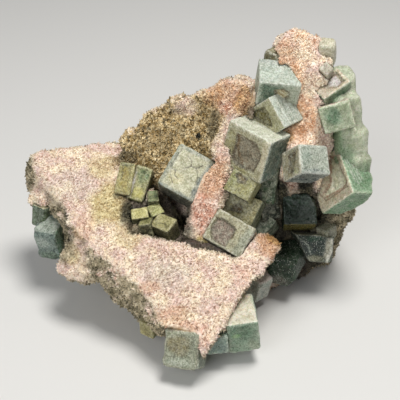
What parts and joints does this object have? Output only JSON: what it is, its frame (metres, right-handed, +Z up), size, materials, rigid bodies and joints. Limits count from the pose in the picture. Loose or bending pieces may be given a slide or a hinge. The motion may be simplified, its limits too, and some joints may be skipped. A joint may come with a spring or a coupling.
{
  "type": "fluorite specimen",
  "caption": "Mineral specimen: frosted green fluorite cubes grown on a broken plate of pink, sugary quartz rock, standing on a flat foot.",
  "frame": {"origin": "middle of the bounding box's footprint, on the surface that the specimen stands on", "axes": "+X to the right as pictured, +Y away from the viewer, +Z up"},
  "size_m": [0.1228, 0.0848, 0.0925],
  "materials": {
    "rock": "rough, sugary with fine sparkling grains",
    "pale_crystal": "frosted, etched",
    "grey_green_crystal": "frosted, with etched pockets",
    "green_crystal": "satin, slightly see-through",
    "dark_crystal": "satin, nearly black green",
    "olive_crystal": "frosted"
  },
  "bodies": {
    "root": {"matrix": "rock", "flat_cube": "pale_crystal", "tower_cubes": "grey_green_crystal", "edge_cube": "grey_green_crystal", "right_cubes": "green_crystal", "crown_cube": "pale_crystal", "dark_cube": "dark_crystal", "low_cubes": "dark_crystal", "low_corner_cube": "grey_green_crystal", "front_right_cubes": "green_crystal", "front_cube": "grey_green_crystal", "side_crystal": "olive_crystal", "left_cubes": "green_crystal", "hollow_pair": "olive_crystal", "hollow_cubes": "olive_crystal", "back_cubes": "green_crystal"}
  },
  "joints": []
}
